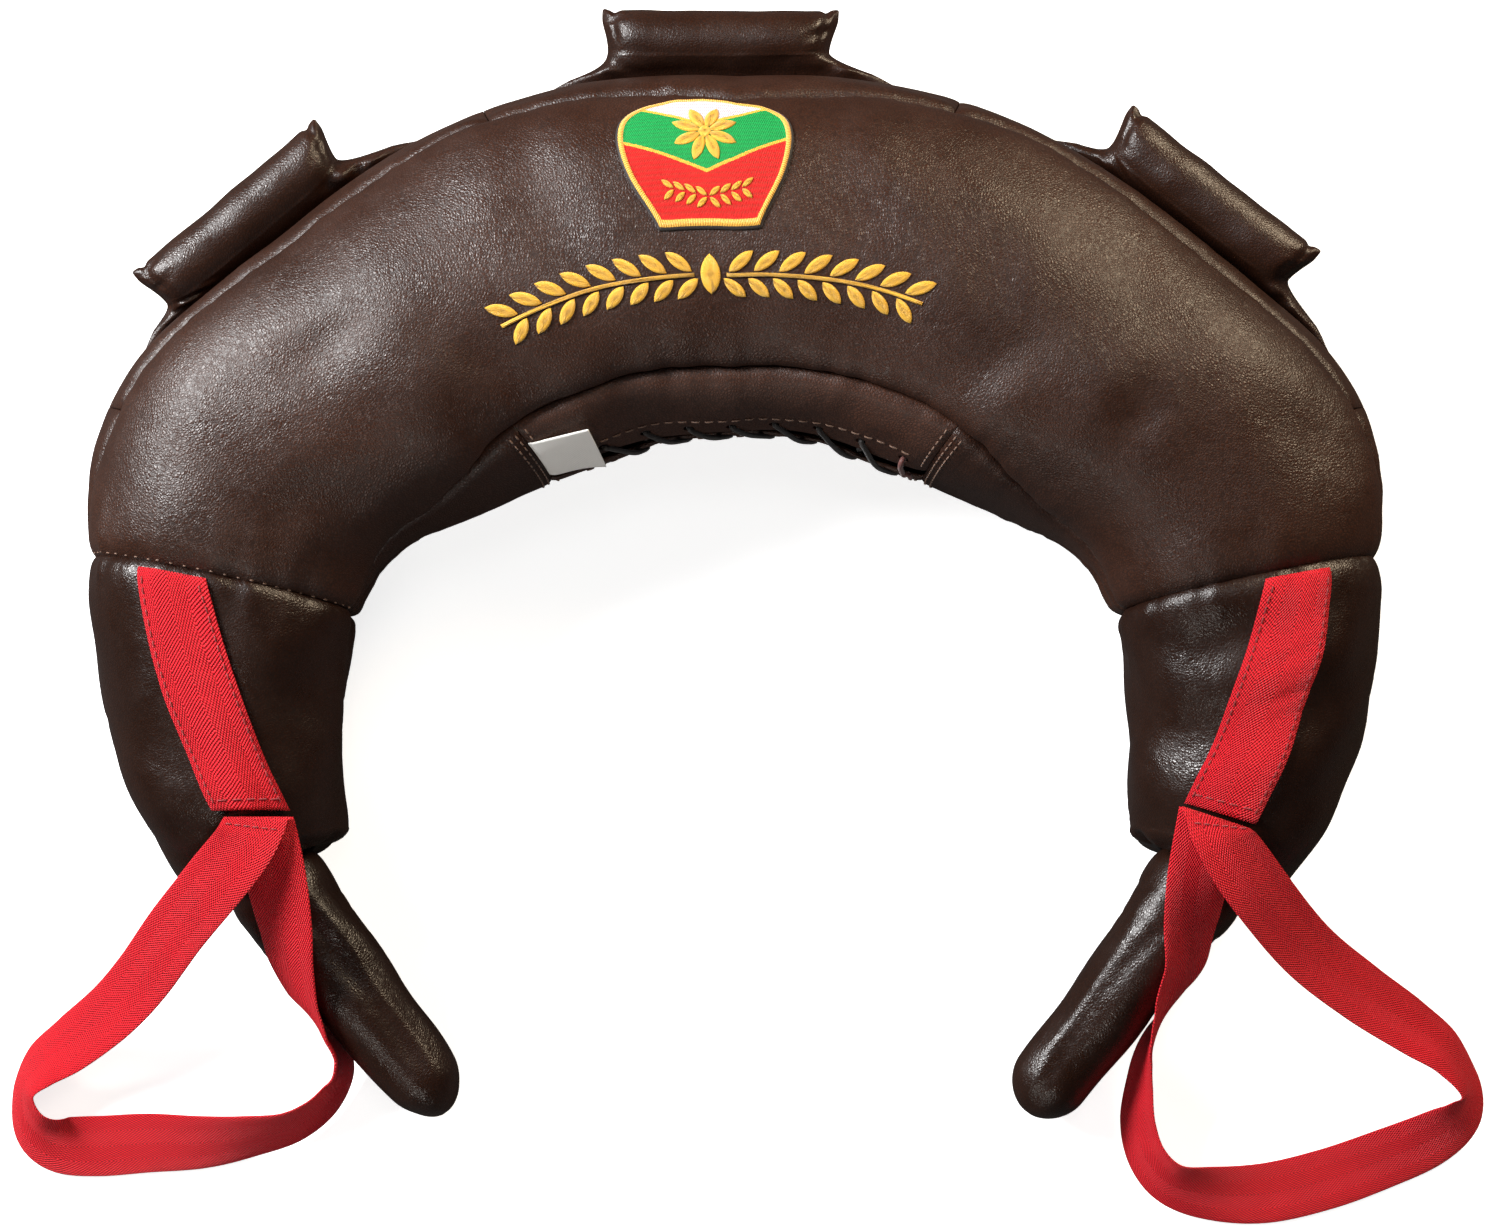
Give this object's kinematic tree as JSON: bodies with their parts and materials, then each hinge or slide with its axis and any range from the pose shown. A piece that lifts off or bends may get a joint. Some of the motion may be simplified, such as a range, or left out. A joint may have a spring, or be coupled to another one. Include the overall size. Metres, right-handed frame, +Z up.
{
  "type": "bulgarian bag",
  "caption": "Crescent-shaped leather training bag filled with sand and wool, with padded grips, stuffed horns, a laced opening and webbing hand loops.",
  "frame": {"origin": "middle of the bag's bounding box, on the floor that it lies on", "axes": "+Z up, out of the bag's front; +Y towards the crown of the crescent, away from the horns; +X along its width, to the right as seen from its front"},
  "size_m": [0.6842, 0.5559, 0.1477],
  "materials": {
    "leather": "grained, satin",
    "webbing": "woven, matt",
    "lace_cord": "braided, matt",
    "label_cloth": "woven, matt",
    "patch_cloth": "embroidered",
    "wool": "loose fibre",
    "sand_bag_canvas": "woven, matt",
    "foam": "closed-cell foam"
  },
  "bodies": {
    "bag": {"back_panel": "leather", "care_label": "label_cloth", "closure_flap_back": "leather", "closure_flap_front": "leather", "closure_lace": "lace_cord", "front_panel": "leather", "front_patch": "patch_cloth", "inner_gusset_left": "leather", "inner_gusset_right": "leather", "lace_guard": "leather", "left_arm_cover": "leather", "left_arm_stuffing": "wool", "left_strap": "webbing", "outer_gusset_left": "leather", "outer_gusset_left_end": "leather", "outer_gusset_right": "leather", "outer_gusset_right_end": "leather", "outer_gusset_top": "leather", "right_arm_cover": "leather", "right_arm_stuffing": "wool", "right_strap": "webbing", "sand_bag_crown": "sand_bag_canvas", "sand_bag_left": "sand_bag_canvas", "sand_bag_right": "sand_bag_canvas", "wool_crown": "wool", "wool_left": "wool", "wool_right": "wool"},
    "top_grip": {"top_handle_cover": "leather", "top_handle_core": "foam"},
    "left_grip": {"left_handle_cover": "leather", "left_handle_core": "foam"},
    "right_grip": {"right_handle_cover": "leather", "right_handle_core": "foam"},
    "left_horn": {"left_horn_cover": "leather", "left_horn_stuffing": "wool"},
    "right_horn": {"right_horn_cover": "leather", "right_horn_stuffing": "wool"},
    "left_loop": {"left_hand_loop": "webbing"},
    "right_loop": {"right_hand_loop": "webbing"}
  },
  "joints": [
    {"name": "top_grip_tilt", "type": "hinge", "parent": "bag", "child": "top_grip", "pos_m": [-0.01171, 0.24473, 0.073], "axis": [0.9985, -0.0551, 0], "range_deg": [-40, 20]},
    {"name": "left_grip_tilt", "type": "hinge", "parent": "bag", "child": "left_grip", "pos_m": [-0.21438, 0.16962, 0.07124], "axis": [0.7776, 0.6288, 0], "range_deg": [-65, 0]},
    {"name": "right_grip_tilt", "type": "hinge", "parent": "bag", "child": "right_grip", "pos_m": [0.20426, 0.16962, 0.07124], "axis": [0.7776, -0.6288, 0], "range_deg": [-65, 0]},
    {"name": "left_horn_bend", "type": "hinge", "parent": "bag", "child": "left_horn", "pos_m": [-0.21255, -0.12631, 0.036], "axis": [0, 0, 1], "range_deg": [0, 25]},
    {"name": "right_horn_bend", "type": "hinge", "parent": "bag", "child": "right_horn", "pos_m": [0.20243, -0.12631, 0.036], "axis": [0, 0, -1], "range_deg": [0, 25]},
    {"name": "left_loop_swing", "type": "hinge", "parent": "bag", "child": "left_loop", "pos_m": [-0.21565, -0.09453, 0.09355], "axis": [-1, 0, 0], "range_deg": [0, 130]},
    {"name": "right_loop_swing", "type": "hinge", "parent": "bag", "child": "right_loop", "pos_m": [0.20553, -0.09453, 0.09355], "axis": [-0.9511, 0.309, 0], "range_deg": [0, 130]}
  ]
}
